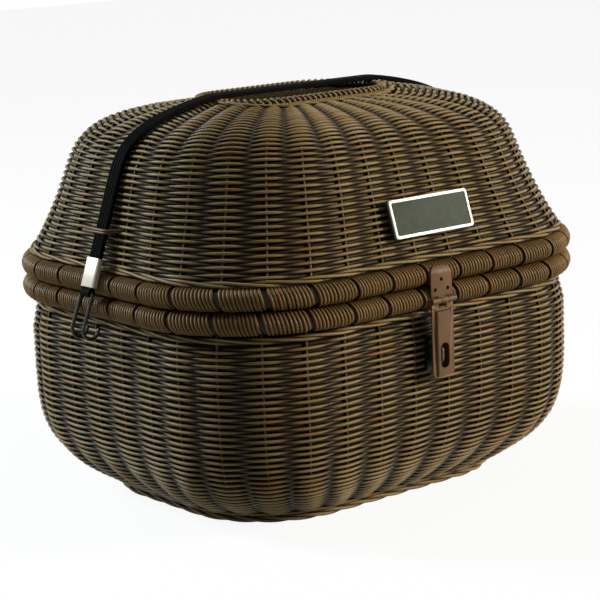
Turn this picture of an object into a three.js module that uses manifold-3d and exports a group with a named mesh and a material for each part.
// A woven carrier basket with a domed lid, a hasp at the front, two hinges at the back and a rubber strap.
// Millimetres, +Z up. The origin is the middle of the base; the hasp faces -Y and the hinges face +Y.
import * as THREE from 'three';
import { mergeVertices } from 'three/addons/utils/BufferGeometryUtils.js';
import Module from 'manifold-3d';

const wasm = await Module();
wasm.setup();

// Clearance between pieces that touch, and round a pin or wire in its bore.
const FIT = 0.3;
const RUNNING = 0.4;

// Rims: two wound tubes on the same rounded rectangle, one on the tub and one on the lid.
const RIM_HALF_LENGTH = 210;
const RIM_HALF_DEPTH = 178;
const RIM_CORNER = 111;
const RIM_RADIUS = 9.3;
const RIM_CORE_RADIUS = 3.2;
const RIM_GAP = 0.6;
const WINDING = 3;
const WRAP_GROUPS = 37;
const TUB_PHASE = 0.33;
const LID_PHASE = 0.48;
const RIB_DIP = 2.2;
const GROUP_GAP = 5;
const GROUP_GROOVE = 1.1;

// Woven walls.
const WEAVE = 6;
const TUB_HEIGHT = 191.2;
const FOOT_INSET = 55;
const WALL_CORNER = 102;
const FOOT_CORNER = 84;
const BELLY_HEIGHT = 131;
const BELLY_POWER = 4.4;
const TUB_NECK = 2.5;
const NECK_HEIGHT = 26;
const BORDER_RADIUS = 3.2;
const BASE_THICKNESS = 6;
const LID_HEIGHT = 147.8;
const LID_NECK = 0.3;
const LID_CORNER = 103;
const TOP_HALF_LENGTH = 82;
const TOP_HALF_DEPTH = 45.5;
const TOP_CORNER = 40;
const PANEL_THICKNESS = 6;
// Share of each side's inset that rises evenly, and the power that rounds the shoulder.
const END_SLOPE = 0.26;
const END_POWER = 8.5;
const FRONT_SLOPE = 0.33;
const FRONT_POWER = 10;
// The corners grow rounder half way up, and tighten with this power towards the top.
const CORNER_BULGE = 20;
const CORNER_POWER = 6;

// Sheet metal, pins and nails.
const SHEET = 1.2;
const KNUCKLE_RADIUS = 3;
const PIN_RADIUS = 1.3;
const NAIL_RADIUS = 0.9;
const NAIL_HEAD = 2.1;
const NAIL_CROWN = 1.1;
const NAIL_EDGE = 0.9;
const NAIL_SHOULDER = 1.5;

// Hasp at the front.
const HASP_X = -6.5;
const PLATE_WIDTH = 23;
const PLATE_ABOVE_GAP = 13.5;
const PLATE_BELOW_GAP = 7.5;
const PLATE_CORNER = 7;
const TOP_NAIL_RISE = 5.5;
const LOW_NAIL_RISE = -2.6;
const LOW_NAIL_SPREAD = 6.9;
const HASP_DROP = 11.4;
const HASP_BARREL = 26;
const TONGUE_WIDTH = 8;
const STRAP_PLATE_WIDTH = 18;
const STRAP_PLATE_LENGTH = 62.8;
const FLANGE_DEPTH = 7;
const SLOT_DROP = 45.8;
const SLOT_HEIGHT = 21;
const SLOT_WIDTH = 9.5;
const STAPLE_WIRE = 1.4;
const STAPLE_SPREAD = 11;
const STAPLE_BEND = 3;
const STAPLE_PLATE_WIDTH = 20;
const STAPLE_PLATE_HEIGHT = 28;

// Hinges at the back.
const HINGE_X = 84;
const HINGE_WIDTH = 30;
const LEAF_HEIGHT = 17;
const LEAF_NAIL_SPREAD = 9;
const LEAF_NAIL_RISE = 11.5;

// Badge on the lid's front.
const BADGE_X = 0;
const BADGE_RISE = 54.2;
const BADGE_WIDTH = 86;
const BADGE_HEIGHT = 32;
const BADGE_TRAY = 3.2;
const BADGE_FRAME = 2.6;
const BADGE_LIP = 1.4;
const BADGE_CORNER = 2.5;
const BADGE_STANDOFF = 1.8;
const STUD_RADIUS = 2;
const STUD_SPREAD = 17;

// Rubber strap over the lid, its keepers, and the crimp, fold and wire hook at each end.
const STRAP_Y = -5;
const STRAP_WIDTH = 15;
const STRAP_THICKNESS = 4;
const KEEPER_RISE = 53.2;
const KEEPER_SPAN = 46;
const KEEPER_WIRE = 1.4;
const KEEPER_SHOULDER = 3;
const KEEPER_BEND = 2;
const CRIMP_LENGTH = 24;
const CRIMP_BELOW = 5;
const CRIMP_WALL = 0.8;
const FOLD_WIDTH = 12;
const FOLD_DROP = 4.6;
const FOLD_WALL = 1.6;
const HOOK_WIRE = 1.5;
const HOOK_LEG = 36;
const HOOK_RETURN = 14.5;
const HOOK_TIP = 10;
const HOOK_BEND = 5;
const HOOK_SHOULDER = 2;
const HOOK_LEAN = THREE.MathUtils.degToRad(22);

// Facets round the walls and along the profiles.
const WALL_STATIONS = 40;
const TUB_LEVELS = 8;
const LID_LEVELS = 10;
const ROUND_SIDES = 6;
const PIN_SIDES = 8;
const SHOULDER_CROWDING = 1.7;
const FOOT_CROWDING = 1.5;
const MIN_STEP = 1e-6;
const MERGE_DISTANCE = 1e-4;
const BORDER_SIDES = 8;
const ARC_STEPS = 3;
const HOOK_STEPS = 40;
const WIRE_STEPS = 12;

// Heights and places that follow from the sizes above.
const TUB_RIM_Z = TUB_HEIGHT - RIM_RADIUS;
const GAP_Z = TUB_HEIGHT + RIM_GAP / 2;
const LID_BOTTOM = TUB_HEIGHT + RIM_GAP;
const LID_RIM_Z = LID_BOTTOM + RIM_RADIUS;
const LID_TOP = LID_BOTTOM + LID_HEIGHT;
const KEEPER_Z = LID_BOTTOM + KEEPER_RISE;
const BADGE_Z = LID_BOTTOM + BADGE_RISE;
const RIM_FACE = RIM_HALF_DEPTH + RIM_RADIUS + FIT;
const BARREL_FACE = RIM_FACE + KNUCKLE_RADIUS;
const PIN_BORE = PIN_RADIUS + RUNNING;
const LEAF_CLEAR = KNUCKLE_RADIUS + 2 * FIT;
const HASP_AXIS_Z = GAP_Z - HASP_DROP;
const WALL_FOOT_Z = 2 * BORDER_RADIUS + FIT;

const MATERIALS = {
  weave: new THREE.MeshStandardMaterial({ color: 0x6d5a38, roughness: 0.55, metalness: 0 }),
  winding: new THREE.MeshStandardMaterial({ color: 0x705936, roughness: 0.5, metalness: 0 }),
  cane: new THREE.MeshStandardMaterial({ color: 0x8a7148, roughness: 0.7, metalness: 0 }),
  brownMetal: new THREE.MeshStandardMaterial({ color: 0x6e5138, roughness: 0.5, metalness: 0.35 }),
  darkSteel: new THREE.MeshStandardMaterial({ color: 0x1e1a19, roughness: 0.45, metalness: 0.7 }),
  rubber: new THREE.MeshStandardMaterial({ color: 0x141414, roughness: 0.6, metalness: 0 }),
  zinc: new THREE.MeshStandardMaterial({ color: 0xc9c4b4, roughness: 0.35, metalness: 0.8 }),
  badgeTray: new THREE.MeshStandardMaterial({ color: 0x1b1a19, roughness: 0.5, metalness: 0 }),
  badgeField: new THREE.MeshStandardMaterial({ color: 0x4c534c, roughness: 0.45, metalness: 0 }),
  badgeFrame: new THREE.MeshStandardMaterial({ color: 0xe9e9e4, roughness: 0.4, metalness: 0 }),
};

const basket = new THREE.Group();

// Merges a geometry's shared vertices, drops flat triangles and turns every face outwards.
function closedSolid(geometry) {
  const bare = geometry.clone();
  bare.deleteAttribute('normal');
  bare.deleteAttribute('uv');
  const merged = mergeVertices(bare, MERGE_DISTANCE);
  const place = merged.getAttribute('position');
  const corner = (index) => new THREE.Vector3().fromBufferAttribute(place, index);
  const kept = [];
  let volume = 0;
  for (let i = 0; i < merged.index.count; i += 3) {
    const [a, b, c] = [0, 1, 2].map((step) => merged.index.getX(i + step));
    if (a === b || b === c || c === a) continue;
    kept.push([a, b, c]);
    volume += corner(a).dot(corner(b).cross(corner(c)));
  }
  const faces = volume < 0 ? kept.map(([a, b, c]) => [a, c, b]) : kept;
  merged.setIndex(faces.flat());
  merged.computeVertexNormals();
  return merged;
}

// Turns a closed geometry into a solid for cutting and joining.
function toManifold(geometry) {
  const closed = closedSolid(geometry);
  const vertProperties = new Float32Array(closed.getAttribute('position').array);
  const triVerts = new Uint32Array(closed.index.array);
  return new wasm.Manifold(new wasm.Mesh({ numProp: 3, vertProperties, triVerts }));
}

// Turns a cut or joined solid back into a geometry.
function fromManifold(manifold) {
  const mesh = manifold.getMesh();
  const geometry = new THREE.BufferGeometry();
  geometry.setAttribute('position', new THREE.BufferAttribute(new Float32Array(mesh.vertProperties), 3));
  geometry.setIndex(Array.from(mesh.triVerts));
  return geometry;
}

// Joins closed geometries into one.
function join(...geometries) {
  return fromManifold(geometries.map(toManifold).reduce((whole, piece) => whole.add(piece)));
}

// Cuts one closed geometry out of another.
function cut(geometry, tool) {
  return fromManifold(toManifold(geometry).subtract(toManifold(tool)));
}

// Adds a named piece to a group.
function addPiece(parent, name, geometry, material) {
  const mesh = new THREE.Mesh(closedSolid(geometry), material);
  mesh.name = name;
  parent.add(mesh);
  return mesh;
}

// Point and outward direction at a share of the way round a rounded rectangle, from the front's middle.
function outlinePoint({ halfLength, halfDepth, corner }, share) {
  const radius = Math.min(corner, halfLength, halfDepth);
  const alongX = halfLength - radius;
  const alongY = halfDepth - radius;
  const arc = radius * Math.PI / 2;
  const runs = [alongX, arc, 2 * alongY, arc, 2 * alongX, arc, 2 * alongY, arc, alongX];
  const centres = [[0, -alongY], [alongX, -alongY], [alongX, alongY], [-alongX, alongY], [-alongX, -alongY]];
  const total = runs.reduce((sum, run) => sum + run, 0);
  let rest = (share - Math.floor(share)) * total;
  let run = 0;
  while (run < runs.length - 1 && rest > runs[run]) {
    rest -= runs[run];
    run += 1;
  }
  const isArc = run % 2 === 1;
  const quarter = isArc ? (run - 1) / 2 : run / 2;
  const heading = (quarter - 1) * Math.PI / 2 + (isArc ? rest / radius : 0);
  const [centreX, centreY] = centres[isArc ? quarter + 1 : quarter];
  const straight = isArc ? 0 : rest;
  const out = new THREE.Vector2(Math.cos(heading), Math.sin(heading));
  const x = centreX + out.x * radius - out.y * straight;
  const y = centreY + out.y * radius + out.x * straight;
  return { x, y, out, total };
}

// Closed ring: the same number of section points at each station round an outline.
function ringGeometry(shares, sectionCount, pointAt) {
  const positions = [];
  const faces = [];
  shares.forEach((share, station) => {
    const next = (station + 1) % shares.length;
    for (let i = 0; i < sectionCount; i += 1) {
      positions.push(...pointAt(share, i, station));
      const j = (i + 1) % sectionCount;
      const [a, b] = [station * sectionCount + i, station * sectionCount + j];
      const [c, d] = [next * sectionCount + j, next * sectionCount + i];
      faces.push(a, b, c, a, c, d);
    }
  });
  const geometry = new THREE.BufferGeometry();
  geometry.setAttribute('position', new THREE.Float32BufferAttribute(positions, 3));
  geometry.setIndex(faces);
  return geometry;
}

// Equal shares round an outline, from a first one on.
function evenShares(count, first = 0) {
  return Array.from({ length: count }, (_, i) => first + i / count);
}

// How far the weave dips below its ribs at a share of the way round a wall: a rib stands over each stake.
function ribDip(share, phase) {
  const place = share * WRAP_GROUPS - phase;
  return 2 * RIB_DIP * Math.abs(place - Math.round(place));
}

// Woven shell between an outer and an inner list of levels, with its ribs between the two edges.
function shellGeometry(outer, inner, phase) {
  const levels = [...outer, ...inner.slice().reverse()];
  const shares = evenShares(2 * WRAP_GROUPS, phase / WRAP_GROUPS);
  return ringGeometry(shares, levels.length, (share, i) => {
    const { x, y, out } = outlinePoint(levels[i], share);
    const dip = i > 0 && i < outer.length - 1 ? ribDip(share, phase) : 0;
    return [x - out.x * dip, y - out.y * dip, levels[i].z];
  });
}

// Round rod with flats, bent into a ring that follows an outline.
function rodRing(outline, z, radius, sides, shares) {
  const reach = radius / Math.cos(Math.PI / sides);
  return ringGeometry(shares, sides, (share, i) => {
    const { x, y, out } = outlinePoint(outline, share);
    const angle = (i + 0.5) * 2 * Math.PI / sides - Math.PI / 2;
    const off = reach * Math.cos(angle);
    return [x + out.x * off, y + out.y * off, z + reach * Math.sin(angle)];
  });
}

// Shape through the points of an outline.
function outlineShape(outline) {
  const points = evenShares(WALL_STATIONS).map((share) => outlinePoint(outline, share));
  return new THREE.Shape(points.map(({ x, y }) => new THREE.Vector2(x, y)));
}

// Extrusion of a shape drawn in X and Y, between two heights.
function extrudeZ(shape, low, high) {
  const options = { depth: high - low, bevelEnabled: false, curveSegments: ARC_STEPS };
  return new THREE.ExtrudeGeometry(shape, options).translate(0, 0, low);
}

// Extrusion of a shape drawn in X and Z, centred on y = 0.
function extrudeY(shape, width) {
  return extrudeZ(shape, -width / 2, width / 2).rotateX(Math.PI / 2);
}

// Extrusion of a shape drawn in Y and Z, between two places along X.
function extrudeX(shape, from, to) {
  return extrudeZ(shape, from, to).rotateX(Math.PI / 2).rotateZ(Math.PI / 2);
}

// Rectangle from two corners.
function rectangle(x0, y0, x1, y1) {
  const corners = [[x0, y0], [x1, y0], [x1, y1], [x0, y1]];
  return new THREE.Shape(corners.map(([x, y]) => new THREE.Vector2(x, y)));
}

// Rectangle with round corners, centred on the origin.
function roundedRectangle(width, height, corner) {
  const [right, top] = [width / 2 - corner, height / 2 - corner];
  const shape = new THREE.Shape();
  [[right, top], [-right, top], [-right, -top], [right, -top]].forEach(([x, y], quarter) => {
    shape.absarc(x, y, corner, quarter * Math.PI / 2, (quarter + 1) * Math.PI / 2);
  });
  return shape;
}

// Round hole in a shape.
function roundHole(x, y, radius) {
  return new THREE.Path().absarc(x, y, radius, 0, 2 * Math.PI);
}

// Wire along a path of straight runs with rounded corners.
function wireGeometry(points, radius, bends, steps) {
  const path = new THREE.CurvePath();
  let from = points[0];
  for (let i = 1; i < points.length - 1; i += 1) {
    const before = points[i].clone().sub(points[i - 1]).normalize();
    const after = points[i + 1].clone().sub(points[i]).normalize();
    const enter = points[i].clone().addScaledVector(before, -bends[i - 1]);
    const leave = points[i].clone().addScaledVector(after, bends[i - 1]);
    path.add(new THREE.LineCurve3(from, enter));
    path.add(new THREE.QuadraticBezierCurve3(enter, points[i], leave));
    from = leave;
  }
  path.add(new THREE.LineCurve3(from, points[points.length - 1]));
  const section = new THREE.Shape();
  for (let i = 0; i < ROUND_SIDES; i += 1) {
    const angle = i * 2 * Math.PI / ROUND_SIDES;
    const corner = [radius * Math.cos(angle), radius * Math.sin(angle)];
    if (i === 0) section.moveTo(...corner);
    else section.lineTo(...corner);
  }
  section.closePath();
  return new THREE.ExtrudeGeometry(section, { steps, bevelEnabled: false, extrudePath: path });
}

// Nail along +Y from its point to its crowned head, with the underside of the head at y = 0.
function nailGeometry(shank) {
  const profile = [
    [0, -shank],
    [NAIL_RADIUS, -shank],
    [NAIL_RADIUS, 0],
    [NAIL_HEAD, 0],
    [NAIL_SHOULDER, NAIL_EDGE],
    [0, NAIL_CROWN],
  ];
  return new THREE.LatheGeometry(profile.map(([x, y]) => new THREE.Vector2(x, y)), PIN_SIDES);
}

// Hinge pin along X, centred on the origin.
function pinGeometry(length) {
  return new THREE.CylinderGeometry(PIN_RADIUS, PIN_RADIUS, length, PIN_SIDES).rotateZ(Math.PI / 2);
}

// Level of the tub's outer face at a height above the floor.
function tubLevel(z, thickness) {
  const rise = BELLY_HEIGHT - WALL_FOOT_Z;
  const share = Math.max(0, 1 - (z - WALL_FOOT_Z) / rise);
  const belly = FOOT_INSET * share ** BELLY_POWER;
  const slope = FOOT_INSET * BELLY_POWER * share ** (BELLY_POWER - 1) / rise;
  const neckStart = TUB_RIM_Z - RIM_RADIUS - NECK_HEIGHT;
  const neckShare = Math.max(0, (z - neckStart) / NECK_HEIGHT);
  const neck = TUB_NECK * neckShare;
  const inset = belly + neck + thickness * Math.hypot(1, slope);
  const fullCorner = WALL_CORNER + (RIM_CORNER - WALL_CORNER) * neckShare;
  const corner = fullCorner - (WALL_CORNER - FOOT_CORNER) * belly / FOOT_INSET - neck - thickness;
  return { halfLength: RIM_HALF_LENGTH - inset, halfDepth: RIM_HALF_DEPTH - inset, corner, z };
}

// Level of the lid at a share of its wall's height, for the outer face or for the inner one.
function lidLevel(share, thickness) {
  const low = LID_RIM_Z + RIM_RADIUS + FIT;
  const topGrow = 2 * BORDER_RADIUS + 2 * FIT;
  const endSpan = RIM_HALF_LENGTH - LID_NECK - TOP_HALF_LENGTH - topGrow;
  const frontSpan = RIM_HALF_DEPTH - LID_NECK - TOP_HALF_DEPTH - topGrow;
  const endShare = END_SLOPE * share + (1 - END_SLOPE) * share ** END_POWER;
  const frontShare = FRONT_SLOPE * share + (1 - FRONT_SLOPE) * share ** FRONT_POWER;
  const turn = (endShare + frontShare) / 2;
  const halfLength = RIM_HALF_LENGTH - LID_NECK - endShare * endSpan - thickness * (1 - endShare);
  const halfDepth = RIM_HALF_DEPTH - LID_NECK - frontShare * frontSpan - thickness * (1 - frontShare);
  const tighten = (TOP_CORNER + topGrow - LID_CORNER) * share ** CORNER_POWER;
  const bulge = CORNER_BULGE * 4 * share * (1 - share);
  const corner = LID_CORNER + tighten + bulge - thickness * (1 - turn);
  const z = low + share * (LID_TOP - low) - thickness * share;
  return { halfLength, halfDepth, corner, z };
}

// Shares that crowd towards the top, where the shoulder turns.
function shoulderShares(count) {
  return Array.from({ length: count + 1 }, (_, i) => 1 - (1 - i / count) ** SHOULDER_CROWDING);
}

const LID_OUTER = shoulderShares(LID_LEVELS).map((share) => lidLevel(share, 0));
const LID_INNER = shoulderShares(LID_LEVELS).map((share) => lidLevel(share, WEAVE));

// Height-based look-up of the lid's outer face.
function lidFaceAt(z, key) {
  const top = LID_OUTER.findIndex((level) => level.z >= z);
  const [below, above] = [LID_OUTER[top - 1], LID_OUTER[top]];
  const share = (z - below.z) / (above.z - below.z);
  return { reach: below[key] + (above[key] - below[key]) * share, below, above };
}

// Stations of a wound rim: a groove and the two ends of the turns beside it, for each group.
function windingStations(phase) {
  const rim = { halfLength: RIM_HALF_LENGTH, halfDepth: RIM_HALF_DEPTH, corner: RIM_CORNER };
  const half = GROUP_GAP / 2 / outlinePoint(rim, 0).total;
  const stations = [];
  for (let group = 0; group < WRAP_GROUPS; group += 1) {
    const middle = (group + phase) / WRAP_GROUPS;
    stations.push({ share: middle, dip: GROUP_GROOVE });
    stations.push({ share: middle + half, dip: 0 });
    stations.push({ share: middle + 1 / WRAP_GROUPS - half, dip: 0 });
  }
  return { rim, stations };
}

// One rim: a cane core, and the winding round it with a mouth where the woven wall meets it.
function addRim(name, z, side, phase) {
  const { rim, stations } = windingStations(phase);
  const arcSteps = 6;
  const firstAngle = 260;
  const arcSpan = 300;
  const boreSteps = 3;
  const section = [];
  for (let i = 0; i <= arcSteps; i += 1) {
    section.push({ angle: firstAngle + i * arcSpan / arcSteps, outer: true });
  }
  for (let i = boreSteps; i >= 0; i -= 1) {
    section.push({ angle: firstAngle + i * arcSpan / boreSteps, outer: false });
  }
  const shares = stations.map(({ share }) => share);
  const winding = ringGeometry(shares, section.length, (share, i, station) => {
    const { x, y, out } = outlinePoint(rim, share);
    const { angle, outer } = section[i];
    const radius = outer ? RIM_RADIUS - stations[station].dip : RIM_RADIUS - WINDING;
    const turn = THREE.MathUtils.degToRad(angle);
    const off = radius * Math.cos(turn);
    return [x + out.x * off, y + out.y * off, z + side * radius * Math.sin(turn)];
  });
  addPiece(basket, `${name}_winding`, winding, MATERIALS.winding);
  const reach = RIM_CORE_RADIUS * Math.cos(Math.PI / ROUND_SIDES);
  const coreShares = evenShares(WRAP_GROUPS, phase / WRAP_GROUPS);
  addPiece(basket, `${name}_core`, rodRing(rim, z, reach, ROUND_SIDES, coreShares), MATERIALS.cane);
}

// Tub: base panel, border rod, woven wall and rim.
function addTub() {
  const top = TUB_RIM_Z - RIM_RADIUS - FIT;
  const footSize = {
    halfLength: RIM_HALF_LENGTH - FOOT_INSET,
    halfDepth: RIM_HALF_DEPTH - FOOT_INSET,
    corner: FOOT_CORNER,
  };
  const inward = (inset) => ({
    halfLength: footSize.halfLength - inset,
    halfDepth: footSize.halfDepth - inset,
    corner: footSize.corner - inset,
  });
  const climb = (share) => WALL_FOOT_Z + (top - WALL_FOOT_Z) * share ** FOOT_CROWDING;
  const heights = Array.from({ length: TUB_LEVELS + 1 }, (_, i) => climb(i / TUB_LEVELS));
  const outer = heights.map((z) => tubLevel(z, 0));
  const inner = heights.map((z) => tubLevel(z, WEAVE));
  addPiece(basket, 'tub_wall', shellGeometry(outer, inner, TUB_PHASE), MATERIALS.weave);
  const panel = outlineShape(inward(2 * BORDER_RADIUS + 2 * FIT));
  addPiece(basket, 'tub_base', extrudeZ(panel, 0, BASE_THICKNESS), MATERIALS.weave);
  const border = inward(BORDER_RADIUS);
  const rod = rodRing(border, BORDER_RADIUS, BORDER_RADIUS, BORDER_SIDES, evenShares(WALL_STATIONS));
  addPiece(basket, 'base_border', rod, MATERIALS.weave);
  addRim('tub_rim', TUB_RIM_Z, 1, TUB_PHASE);
}

// Lid: woven dome, flat top panel with its border rod, and rim.
function addLid() {
  addPiece(basket, 'lid_wall', shellGeometry(LID_OUTER, LID_INNER, LID_PHASE), MATERIALS.weave);
  const top = { halfLength: TOP_HALF_LENGTH, halfDepth: TOP_HALF_DEPTH, corner: TOP_CORNER };
  const panel = extrudeZ(outlineShape(top), LID_TOP - PANEL_THICKNESS, LID_TOP);
  addPiece(basket, 'lid_top_panel', panel, MATERIALS.weave);
  const grow = FIT + BORDER_RADIUS;
  const border = {
    halfLength: top.halfLength + grow,
    halfDepth: top.halfDepth + grow,
    corner: top.corner + grow,
  };
  const shares = evenShares(WALL_STATIONS);
  const rod = rodRing(border, LID_TOP - BORDER_RADIUS, BORDER_RADIUS, BORDER_SIDES, shares);
  addPiece(basket, 'lid_top_border', rod, MATERIALS.weave);
  addRim('lid_rim', LID_RIM_Z, -1, LID_PHASE);
}

// Profile of a hinge knuckle with the sheet that runs from it, drawn in Y and Z with the pin at the origin.
function knuckleShape(sheetEnd) {
  const sign = Math.sign(sheetEnd);
  const meet = Math.acos((KNUCKLE_RADIUS - SHEET) / KNUCKLE_RADIUS);
  const shape = new THREE.Shape();
  shape.moveTo(-KNUCKLE_RADIUS, sheetEnd);
  shape.lineTo(-KNUCKLE_RADIUS, 0);
  shape.absarc(0, 0, KNUCKLE_RADIUS, Math.PI, Math.PI + sign * (2 * Math.PI - meet), sign < 0);
  shape.lineTo(-KNUCKLE_RADIUS + SHEET, sheetEnd);
  shape.closePath();
  shape.holes.push(roundHole(0, 0, PIN_BORE));
  return shape;
}

// Hinge leaf lying on a rim: sheet with nail holes, and knuckles at the given places along the pin.
function leafGeometry(sign, knuckles) {
  const sheet = rectangle(-HINGE_WIDTH / 2, LEAF_CLEAR, HINGE_WIDTH / 2, LEAF_HEIGHT);
  [-1, 1].forEach((side) => {
    sheet.holes.push(roundHole(side * LEAF_NAIL_SPREAD, LEAF_NAIL_RISE, NAIL_RADIUS + FIT));
  });
  const plate = extrudeY(sheet, SHEET).scale(1, 1, sign).translate(0, SHEET / 2 - KNUCKLE_RADIUS, 0);
  const overlap = SHEET;
  const shape = knuckleShape(sign * (LEAF_CLEAR + overlap));
  return join(plate, ...knuckles.map(([from, to]) => extrudeX(shape, from, to)));
}

// Back hinges: a leaf on each rim, the pin, and two nails in each leaf.
function addHinges() {
  const third = HINGE_WIDTH / 6;
  const outerKnuckles = [[-3 * third, -third - FIT / 2], [third + FIT / 2, 3 * third]];
  const middleKnuckle = [[-third + FIT / 2, third - FIT / 2]];
  const leaves = [
    { end: 'lower', sign: -1, knuckles: outerKnuckles },
    { end: 'upper', sign: 1, knuckles: middleKnuckle },
  ];
  [['left', -1], ['right', 1]].forEach(([side, way]) => {
    const hinge = new THREE.Group();
    hinge.position.set(way * HINGE_X, BARREL_FACE, GAP_Z);
    basket.add(hinge);
    leaves.forEach(({ end, sign, knuckles }) => {
      addPiece(hinge, `${side}_hinge_${end}_leaf`, leafGeometry(sign, knuckles), MATERIALS.brownMetal);
      [['a', -1], ['b', 1]].forEach(([label, place]) => {
        const nail = nailGeometry(SHEET + FIT);
        const face = SHEET - KNUCKLE_RADIUS + FIT;
        nail.translate(place * LEAF_NAIL_SPREAD, face, sign * LEAF_NAIL_RISE);
        addPiece(hinge, `${side}_hinge_${end}_nail_${label}`, nail, MATERIALS.brownMetal);
      });
    });
    addPiece(hinge, `${side}_hinge_pin`, pinGeometry(HINGE_WIDTH), MATERIALS.darkSteel);
  });
}

// Fixed plate of the hasp, drawn in X and Z with the gap between the rims at z = 0.
function haspPlateGeometry() {
  const half = PLATE_WIDTH / 2;
  const shape = new THREE.Shape();
  shape.moveTo(-half, -PLATE_BELOW_GAP);
  shape.lineTo(half, -PLATE_BELOW_GAP);
  const shoulder = PLATE_ABOVE_GAP - PLATE_CORNER;
  shape.absarc(half - PLATE_CORNER, shoulder, PLATE_CORNER, 0, Math.PI / 2);
  shape.absarc(PLATE_CORNER - half, shoulder, PLATE_CORNER, Math.PI / 2, Math.PI);
  shape.closePath();
  haspNails().forEach(([x, z]) => shape.holes.push(roundHole(x, z, NAIL_RADIUS + FIT)));
  const plate = extrudeY(shape, SHEET).translate(0, KNUCKLE_RADIUS - SHEET / 2, 0);
  const tongue = knuckleShape(HASP_DROP - PLATE_BELOW_GAP + SHEET);
  const knuckle = extrudeX(tongue, -TONGUE_WIDTH / 2, TONGUE_WIDTH / 2).rotateZ(Math.PI);
  return join(plate, knuckle.translate(0, 0, -HASP_DROP));
}

// Places of the hasp's three nails, across and above the gap between the rims.
function haspNails() {
  return [[0, TOP_NAIL_RISE], [-LOW_NAIL_SPREAD, LOW_NAIL_RISE], [LOW_NAIL_SPREAD, LOW_NAIL_RISE]];
}

// Swinging strap of the hasp: two knuckles, a web with an oval slot and a flange down each side.
function haspStrapGeometry() {
  const half = STRAP_PLATE_WIDTH / 2;
  const flangeTop = HASP_DROP - 2 * RIM_RADIUS - 2 * SHEET;
  const web = extrudeY(rectangle(-half, -STRAP_PLATE_LENGTH, half, -LEAF_CLEAR), SHEET);
  const flanges = [-half, half - SHEET].map((x) => {
    const flange = rectangle(x, -STRAP_PLATE_LENGTH, x + SHEET, flangeTop);
    return extrudeY(flange, FLANGE_DEPTH).translate(0, (FLANGE_DEPTH - SHEET) / 2, 0);
  });
  const inner = TONGUE_WIDTH / 2 + FIT;
  const ring = new THREE.Shape();
  ring.absarc(0, 0, KNUCKLE_RADIUS, 0, 2 * Math.PI);
  ring.holes.push(roundHole(0, 0, PIN_BORE));
  const knuckles = [[-HASP_BARREL / 2, -inner], [inner, HASP_BARREL / 2]].map(([from, to]) => {
    return extrudeX(ring, from, to);
  });
  const necks = [[-half, -inner], [inner, half]].map(([from, to]) => {
    const drop = -LEAF_CLEAR - SHEET;
    return extrudeY(rectangle(from, drop, to, -(PIN_BORE + KNUCKLE_RADIUS) / 2), SHEET);
  });
  const round = SLOT_WIDTH / 2;
  const slot = new THREE.Shape();
  const reach = SLOT_HEIGHT / 2 - round;
  slot.absarc(0, reach - SLOT_DROP, round, 0, Math.PI);
  slot.absarc(0, -reach - SLOT_DROP, round, Math.PI, 2 * Math.PI);
  const body = join(web, ...flanges, ...knuckles, ...necks);
  return cut(body, extrudeY(slot, 3 * SHEET));
}

// Staple behind the slot: a wire loop standing on its plate.
function addStaple() {
  const z = HASP_AXIS_Z - SLOT_DROP;
  const wall = tubLevel(z + STAPLE_PLATE_HEIGHT / 2, 0).halfDepth;
  const low = tubLevel(z - STAPLE_PLATE_HEIGHT / 2, 0).halfDepth;
  const { total } = outlinePoint(tubLevel(z, 0), 0);
  const dips = [-1, -0.5, 0, 0.5, 1].map((side) => {
    return ribDip((HASP_X + side * STAPLE_PLATE_WIDTH / 2) / total, TUB_PHASE);
  });
  const back = Math.min(...dips) - Math.max(wall, low) - FIT;
  const plate = extrudeY(roundedRectangle(STAPLE_PLATE_WIDTH, STAPLE_PLATE_HEIGHT, BADGE_CORNER), SHEET);
  addPiece(basket, 'staple_plate', plate.translate(HASP_X, back - SHEET / 2, z), MATERIALS.brownMetal);
  const foot = back - SHEET - FIT;
  const front = -BARREL_FACE + SHEET / 2 + 2 * FIT + STAPLE_WIRE;
  const points = [[foot, -1], [front, -1], [front, 1], [foot, 1]].map(([y, side]) => {
    return new THREE.Vector3(HASP_X, y, z + side * STAPLE_SPREAD / 2);
  });
  const staple = wireGeometry(points, STAPLE_WIRE, [STAPLE_BEND, STAPLE_BEND], WIRE_STEPS);
  addPiece(basket, 'hasp_staple', staple, MATERIALS.darkSteel);
}

// Hasp: fixed plate with its nails, pin, swinging strap, and the staple on the tub.
function addHasp() {
  const hasp = new THREE.Group();
  hasp.position.set(HASP_X, -BARREL_FACE, GAP_Z);
  basket.add(hasp);
  addPiece(hasp, 'hasp_plate', haspPlateGeometry(), MATERIALS.brownMetal);
  haspNails().forEach(([x, z], index) => {
    const nail = nailGeometry(SHEET + FIT).rotateZ(Math.PI);
    const face = KNUCKLE_RADIUS - SHEET - FIT;
    addPiece(hasp, `hasp_nail_${'abc'[index]}`, nail.translate(x, face, z), MATERIALS.darkSteel);
  });
  const pin = pinGeometry(HASP_BARREL).translate(0, 0, -HASP_DROP);
  addPiece(hasp, 'hasp_pin', pin, MATERIALS.brownMetal);
  addPiece(hasp, 'hasp_strap', haspStrapGeometry().translate(0, 0, -HASP_DROP), MATERIALS.brownMetal);
  addStaple();
}

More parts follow.
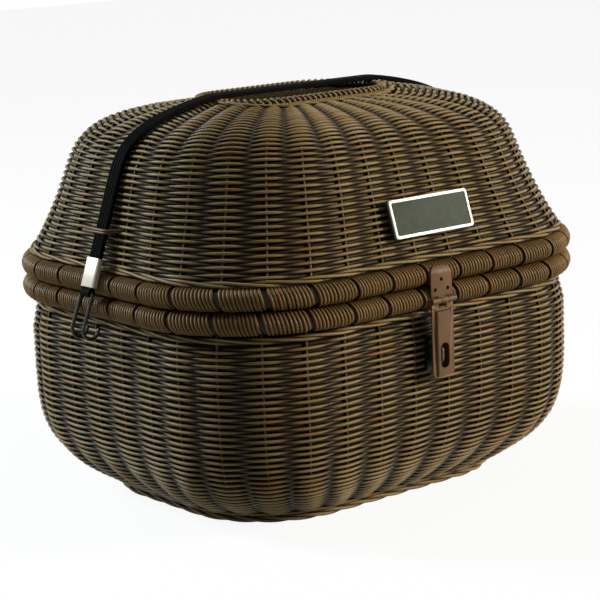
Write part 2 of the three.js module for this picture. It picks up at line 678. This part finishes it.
// Badge: a tray on two studs, leaning with the lid's front, with a bare field inside a raised frame.
function addBadge() {
  const { reach, below, above } = lidFaceAt(BADGE_Z, 'halfDepth');
  const badge = new THREE.Group();
  badge.position.set(BADGE_X, -reach, BADGE_Z);
  badge.rotation.x = -Math.atan2(below.halfDepth - above.halfDepth, above.z - below.z);
  basket.add(badge);
  const outerShape = () => roundedRectangle(BADGE_WIDTH, BADGE_HEIGHT, BADGE_CORNER);
  const back = -BADGE_STANDOFF;
  const front = back - BADGE_TRAY;
  const slab = (shape, from, to) => extrudeY(shape, from - to).translate(0, (from + to) / 2, 0);
  addPiece(badge, 'badge_tray', slab(outerShape(), back, front), MATERIALS.badgeTray);
  const frame = outerShape();
  const innerWidth = BADGE_WIDTH - 2 * BADGE_FRAME;
  const innerHeight = BADGE_HEIGHT - 2 * BADGE_FRAME;
  const corner = BADGE_CORNER / 2;
  frame.holes.push(roundedRectangle(innerWidth, innerHeight, corner));
  const seat = front - FIT;
  addPiece(badge, 'badge_frame', slab(frame, seat, seat - BADGE_LIP), MATERIALS.badgeFrame);
  const field = roundedRectangle(innerWidth - 2 * FIT, innerHeight - 2 * FIT, corner);
  addPiece(badge, 'badge_field', slab(field, seat, seat - BADGE_LIP / 2), MATERIALS.badgeField);
  const length = BADGE_STANDOFF - 2 * FIT;
  [['left', -1], ['right', 1]].forEach(([side, way]) => {
    const stud = new THREE.CylinderGeometry(STUD_RADIUS, STUD_RADIUS, length, PIN_SIDES);
    stud.translate(way * STUD_SPREAD, back / 2, 0);
    addPiece(badge, `badge_stud_${side}`, stud, MATERIALS.badgeTray);
  });
}

// Tight line of the strap over half the lid: from the top's middle to the point where it leaves the rim.
function strapLine() {
  const rimReach = RIM_RADIUS + CRIMP_WALL + FIT;
  const cloud = LID_OUTER.map((level) => ({ at: new THREE.Vector2(level.halfLength, level.z), rim: false }));
  cloud.push({ at: new THREE.Vector2(TOP_HALF_LENGTH, LID_TOP), rim: false });
  const rimSteps = 30;
  for (let i = 0; i <= rimSteps; i += 1) {
    const angle = i / rimSteps * Math.PI / 2;
    const x = RIM_HALF_LENGTH + rimReach * Math.cos(angle);
    cloud.push({ at: new THREE.Vector2(x, LID_RIM_Z + rimReach * Math.sin(angle)), rim: true });
  }
  const line = [new THREE.Vector2(0, LID_TOP)];
  let last = { rim: false };
  while (!last.rim) {
    const from = line[line.length - 1];
    const ahead = cloud.filter(({ at }) => at.x > from.x + MIN_STEP);
    const dropTo = ({ at }) => Math.atan2(from.y - at.y, at.x - from.x);
    last = ahead.reduce((best, point) => (dropTo(point) < dropTo(best) ? point : best));
    line.push(last.at);
  }
  const [tangent, contact] = line.slice(-2);
  const down = contact.clone().sub(tangent).normalize();
  return { line, contact, down };
}

// Line moved outwards, square to its runs, with mitred corners.
function offsetLine(line, distance) {
  const normals = line.slice(1).map((point, i) => {
    const run = point.clone().sub(line[i]).normalize();
    return new THREE.Vector2(-run.y, run.x);
  });
  return line.map((point, i) => {
    const before = normals[Math.max(i - 1, 0)];
    const after = normals[Math.min(i, normals.length - 1)];
    const mitre = before.clone().add(after).normalize();
    return point.clone().addScaledVector(mitre, distance / mitre.dot(after));
  });
}

// Strap over the lid, and the strand across it on each side that keeps it in place.
function addStrap({ line, contact, down }) {
  const end = contact.clone().addScaledVector(down, CRIMP_BELOW - CRIMP_LENGTH - FIT);
  const half = [...line.slice(0, -1), end];
  const mirrored = (points) => points.slice(1).reverse().map((point) => new THREE.Vector2(-point.x, point.y));
  const outer = offsetLine(half, FIT + STRAP_THICKNESS);
  const inner = offsetLine(half, FIT);
  const upper = [...mirrored(outer), ...outer];
  const lower = [...mirrored(inner), ...inner];
  const strap = extrudeY(new THREE.Shape([...lower, ...upper.reverse()]), STRAP_WIDTH);
  addPiece(basket, 'strap', strap.translate(0, STRAP_Y, 0), MATERIALS.rubber);
  const over = outer.findIndex((point) => point.y <= KEEPER_Z);
  const [high, low] = [outer[over - 1], outer[over]];
  const strapReach = high.x + (low.x - high.x) * (high.y - KEEPER_Z) / (high.y - low.y);
  const slackOn = (run, rise) => (KEEPER_WIRE + FIT) / Math.cos(Math.atan2(run, rise));
  const slack = slackOn(low.x - high.x, high.y - low.y);
  const { reach, below, above } = lidFaceAt(KEEPER_Z, 'halfLength');
  const wallSlack = slackOn(below.halfLength - above.halfLength, above.z - below.z);
  const bridge = STRAP_WIDTH / 2 + KEEPER_WIRE + KEEPER_SHOULDER;
  const { total } = outlinePoint(below, 0);
  [['left', -1], ['right', 1]].forEach(([side, way]) => {
    const endAt = (y) => reach + wallSlack - ribDip(0.5 - way * 0.25 + way * (STRAP_Y + y) / total, LID_PHASE);
    const points = [
      [endAt(-KEEPER_SPAN / 2), -KEEPER_SPAN / 2],
      [strapReach + slack, -bridge],
      [strapReach + slack, bridge],
      [endAt(KEEPER_SPAN / 2), KEEPER_SPAN / 2],
    ].map(([x, y]) => new THREE.Vector3(way * x, STRAP_Y + y, KEEPER_Z));
    const keeper = wireGeometry(points, KEEPER_WIRE, [KEEPER_BEND, KEEPER_BEND], WIRE_STEPS);
    addPiece(basket, `strap_keeper_${side}`, keeper, MATERIALS.weave);
  });
}

// Crimp sleeve with the strap's fold below it, drawn with the crimp's lower end at z = 0.
function addCrimp(end, side) {
  const outerThick = STRAP_THICKNESS + 2 * CRIMP_WALL;
  const outerWide = STRAP_WIDTH + 2 * CRIMP_WALL;
  const sleeve = rectangle(-outerThick / 2, -outerWide / 2, outerThick / 2, outerWide / 2);
  sleeve.holes.push(rectangle(-STRAP_THICKNESS / 2, -STRAP_WIDTH / 2, STRAP_THICKNESS / 2, STRAP_WIDTH / 2));
  addPiece(end, `${side}_crimp`, extrudeZ(sleeve, 0, CRIMP_LENGTH), MATERIALS.zinc);
  const bore = HOOK_WIRE + RUNNING;
  const loop = bore + FOLD_WALL;
  const tail = STRAP_THICKNESS / 2 - FIT;
  const shape = new THREE.Shape();
  const meet = Math.acos(tail / loop);
  shape.moveTo(tail, CRIMP_LENGTH - FIT);
  shape.lineTo(-tail, CRIMP_LENGTH - FIT);
  shape.absarc(0, -FOLD_DROP, loop, Math.PI - meet, 2 * Math.PI + meet, false);
  shape.closePath();
  shape.holes.push(roundHole(0, -FOLD_DROP, bore));
  addPiece(end, `${side}_strap_fold`, extrudeY(shape, FOLD_WIDTH), MATERIALS.rubber);
}

// Double wire hook hung in the fold, drawn with its bar on the Y axis.
function hookGeometry(inward) {
  const spread = FOLD_WIDTH / 2 + HOOK_WIRE + RUNNING;
  const leg = (way) => [
    new THREE.Vector3(inward * HOOK_RETURN, way * spread, HOOK_TIP - HOOK_LEG),
    new THREE.Vector3(inward * HOOK_RETURN, way * spread, -HOOK_LEG),
    new THREE.Vector3(0, way * spread, -HOOK_LEG),
    new THREE.Vector3(0, way * spread, 0),
  ];
  const points = [...leg(-1), ...leg(1).reverse()];
  const bends = [HOOK_BEND, HOOK_BEND, HOOK_SHOULDER, HOOK_SHOULDER, HOOK_BEND, HOOK_BEND];
  return wireGeometry(points, HOOK_WIRE, bends, HOOK_STEPS);
}

// Both strap ends, each in line with the strap where it leaves the rim.
function addStrapEnds({ contact, down }) {
  const lean = Math.atan2(down.x, -down.y);
  const middle = FIT + STRAP_THICKNESS / 2;
  const foot = contact.clone().addScaledVector(down, CRIMP_BELOW);
  foot.addScaledVector(new THREE.Vector2(-down.y, down.x), middle);
  [['left', -1], ['right', 1]].forEach(([side, way]) => {
    const end = new THREE.Group();
    end.position.set(way * foot.x, STRAP_Y, foot.y);
    end.rotation.y = -way * lean;
    basket.add(end);
    addCrimp(end, side);
    const swing = new THREE.Group();
    swing.position.set(0, 0, -FOLD_DROP);
    swing.rotation.y = -way * (HOOK_LEAN - lean);
    end.add(swing);
    addPiece(swing, `${side}_hook`, hookGeometry(-way), MATERIALS.darkSteel);
  });
}

addTub();
addLid();
addHinges();
addHasp();
addBadge();
const strapRoute = strapLine();
addStrap(strapRoute);
addStrapEnds(strapRoute);

export default basket;
